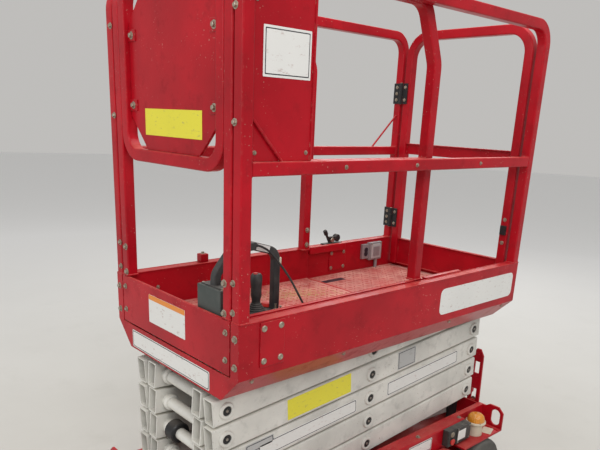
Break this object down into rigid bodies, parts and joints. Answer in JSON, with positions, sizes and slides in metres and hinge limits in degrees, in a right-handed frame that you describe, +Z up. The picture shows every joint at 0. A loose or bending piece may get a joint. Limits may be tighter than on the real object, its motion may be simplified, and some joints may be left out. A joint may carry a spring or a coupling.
{
  "type": "slab scissor lift",
  "caption": "Red electric slab scissor lift with a grey folded scissor stack, guard rails, an entry gate and a roll-out platform deck.",
  "frame": {"origin": "on the ground under the middle of the machine", "axes": "+X to the front (roll-out end), +Y to the machine's left side, +Z up"},
  "size_m": [1.61, 0.81, 2.0799],
  "materials": {
    "red_paint": "gloss",
    "grey_paint": "satin",
    "black_metal": "satin",
    "chrome_rod": "polished",
    "amber_lens": "gloss",
    "black_plastic": "matte",
    "grey_casting": "satin",
    "tyre_rubber": "matte",
    "rim_paint": "satin"
  },
  "bodies": {
    "chassis": {"floor_plate": "red_paint", "trough_webs": "red_paint", "side_boxes": "red_paint", "mudguards": "red_paint", "front_plate": "red_paint", "rear_plate": "red_paint", "spine": "red_paint", "bulkheads": "red_paint", "roller_rails": "red_paint", "pivot_brackets": "black_metal", "ladder": "red_paint", "beacon": "amber_lens", "control_box": "black_plastic", "front_axle": "red_paint", "rear_axle": "red_paint"},
    "tray_left": {"left_tray": "red_paint", "battery_block": "black_plastic"},
    "tray_right": {"right_tray": "red_paint", "hydraulic_block": "grey_casting"},
    "steer_left": {"left_knuckle": "red_paint"},
    "steer_right": {"right_knuckle": "red_paint"},
    "steer_link": {"tie_rod": "black_metal"},
    "cylinder": {"cylinder_barrel": "black_metal"},
    "piston": {"cylinder_rod": "chrome_rod"},
    "platform": {"platform_deck": "red_paint", "deck_runners": "red_paint", "side_cover": "red_paint", "left_guard_rail": "red_paint", "right_guard_rail": "red_paint", "document_panel": "red_paint", "gate_hinges": "black_metal", "outlet_box": "grey_casting"},
    "gate": {"entry_gate": "red_paint"},
    "extension": {"extension_deck": "red_paint", "extension_rails": "red_paint", "front_frame": "red_paint", "front_sheet": "red_paint", "controller": "black_plastic", "controller_lead": "black_plastic"},
    "wheel_front_left": {"front_left_tyre": "tyre_rubber", "front_left_rim": "rim_paint"},
    "wheel_front_right": {"front_right_tyre": "tyre_rubber", "front_right_rim": "rim_paint"},
    "wheel_rear_left": {"rear_left_tyre": "tyre_rubber", "rear_left_rim": "rim_paint"},
    "wheel_rear_right": {"rear_right_tyre": "tyre_rubber", "rear_right_rim": "rim_paint"},
    "inner_1": {"inner_arms_1": "grey_paint", "upper_rollers": "black_metal"},
    "outer_1": {"outer_arms_1": "grey_paint"},
    "inner_2": {"inner_arms_2": "grey_paint"},
    "outer_2": {"outer_arms_2": "grey_paint"},
    "inner_3": {"inner_arms_3": "grey_paint"},
    "outer_3": {"outer_arms_3": "grey_paint"},
    "inner_4": {"inner_arms_4": "grey_paint"},
    "outer_4": {"outer_arms_4": "grey_paint"},
    "inner_5": {"inner_arms_5": "grey_paint"},
    "outer_5": {"outer_arms_5": "grey_paint", "lower_rollers": "black_metal"}
  },
  "joints": [
    {"name": "lift", "type": "hinge", "parent": "chassis", "child": "inner_5", "pos_m": [-0.67503, 0, 0.39494], "axis": [0, -1, 0], "range_deg": [0, 46]},
    {"name": "centre_5", "type": "hinge", "parent": "inner_5", "child": "outer_5", "pos_m": [0.01215, 0, 0.44494], "axis": [0, 1, 0], "range_deg": [0, 92]},
    {"name": "rear_pin_4", "type": "hinge", "parent": "outer_5", "child": "inner_4", "pos_m": [-0.67503, 0, 0.49494], "axis": [0, -1, 0], "range_deg": [0, 92]},
    {"name": "centre_4", "type": "hinge", "parent": "inner_4", "child": "outer_4", "pos_m": [0.01215, 0, 0.54494], "axis": [0, 1, 0], "range_deg": [0, 92]},
    {"name": "front_pin_3", "type": "hinge", "parent": "inner_4", "child": "outer_3", "pos_m": [0.69933, 0, 0.59494], "axis": [0, 1, 0], "range_deg": [0, 92]},
    {"name": "centre_3", "type": "hinge", "parent": "outer_3", "child": "inner_3", "pos_m": [0.01215, 0, 0.64494], "axis": [0, -1, 0], "range_deg": [0, 92]},
    {"name": "rear_pin_2", "type": "hinge", "parent": "outer_3", "child": "inner_2", "pos_m": [-0.67503, 0, 0.69494], "axis": [0, -1, 0], "range_deg": [0, 92]},
    {"name": "centre_2", "type": "hinge", "parent": "inner_2", "child": "outer_2", "pos_m": [0.01215, 0, 0.74494], "axis": [0, 1, 0], "range_deg": [0, 92]},
    {"name": "front_pin_1", "type": "hinge", "parent": "inner_2", "child": "outer_1", "pos_m": [0.69933, 0, 0.79494], "axis": [0, 1, 0], "range_deg": [0, 92]},
    {"name": "centre_1", "type": "hinge", "parent": "outer_1", "child": "inner_1", "pos_m": [0.01215, 0, 0.84494], "axis": [0, -1, 0], "range_deg": [0, 92]},
    {"name": "platform_pin", "type": "hinge", "parent": "outer_1", "child": "platform", "pos_m": [-0.67503, 0, 0.89494], "axis": [0, -1, 0], "range_deg": [0, 46]},
    {"name": "cylinder_tilt", "type": "hinge", "parent": "chassis", "child": "cylinder", "pos_m": [-0.67503, 0, 0.39494], "axis": [0, -1, 0], "range_deg": [0, 59.2]},
    {"name": "cylinder_stroke", "type": "slide", "parent": "cylinder", "child": "piston", "axis": [0.9896, 0, 0.144], "range_m": [0, 0.906]},
    {"name": "gate_hinge", "type": "hinge", "parent": "platform", "child": "gate", "pos_m": [-0.70203, -0.324, 1.5], "axis": [0, 0, -1], "range_deg": [0, 80]},
    {"name": "deck_extension", "type": "slide", "parent": "platform", "child": "extension", "axis": [1, 0, 0], "range_m": [0, 0.6]},
    {"name": "left_tray_hinge", "type": "hinge", "parent": "chassis", "child": "tray_left", "pos_m": [0.40901, 0.394, 0.22], "axis": [0, 0, -1], "range_deg": [0, 90]},
    {"name": "right_tray_hinge", "type": "hinge", "parent": "chassis", "child": "tray_right", "pos_m": [0.40901, -0.394, 0.22], "axis": [0, 0, 1], "range_deg": [0, 90]},
    {"name": "steering_left", "type": "hinge", "parent": "chassis", "child": "steer_left", "pos_m": [0.62997, 0.27, 0.1525], "axis": [0, 0, 1], "range_deg": [-40, 40]},
    {"name": "steering_right", "type": "hinge", "parent": "chassis", "child": "steer_right", "pos_m": [0.62997, -0.27, 0.1525], "axis": [0, 0, 1], "range_deg": [-40, 40]},
    {"name": "link_pivot", "type": "hinge", "parent": "steer_left", "child": "steer_link", "pos_m": [0.54997, 0.27, 0.0865], "axis": [0, 0, 1], "range_deg": [-40, 40]},
    {"name": "front_left_roll", "type": "hinge", "parent": "steer_left", "child": "wheel_front_left", "pos_m": [0.62997, 0.36, 0.1525], "axis": [0, 1, 0], "continuous": true},
    {"name": "front_right_roll", "type": "hinge", "parent": "steer_right", "child": "wheel_front_right", "pos_m": [0.62997, -0.36, 0.1525], "axis": [0, 1, 0], "continuous": true},
    {"name": "rear_left_roll", "type": "hinge", "parent": "chassis", "child": "wheel_rear_left", "pos_m": [-0.62997, 0.36, 0.1525], "axis": [0, 1, 0], "continuous": true},
    {"name": "rear_right_roll", "type": "hinge", "parent": "chassis", "child": "wheel_rear_right", "pos_m": [-0.62997, -0.36, 0.1525], "axis": [0, 1, 0], "continuous": true}
  ],
  "couplings": [
    {"joint": "centre_5", "follows": "lift", "ratio": 2},
    {"joint": "rear_pin_4", "follows": "lift", "ratio": 2},
    {"joint": "centre_4", "follows": "lift", "ratio": 2},
    {"joint": "front_pin_3", "follows": "lift", "ratio": 2},
    {"joint": "centre_3", "follows": "lift", "ratio": 2},
    {"joint": "rear_pin_2", "follows": "lift", "ratio": 2},
    {"joint": "centre_2", "follows": "lift", "ratio": 2},
    {"joint": "front_pin_1", "follows": "lift", "ratio": 2},
    {"joint": "centre_1", "follows": "lift", "ratio": 2},
    {"joint": "platform_pin", "follows": "lift", "ratio": 1},
    {"joint": "cylinder_tilt", "follows": "lift", "ratio": 1.2843},
    {"joint": "cylinder_stroke", "follows": "lift", "m_per_rad": 1.1261},
    {"joint": "steering_right", "follows": "steering_left", "ratio": 1},
    {"joint": "link_pivot", "follows": "steering_left", "ratio": -1}
  ]
}
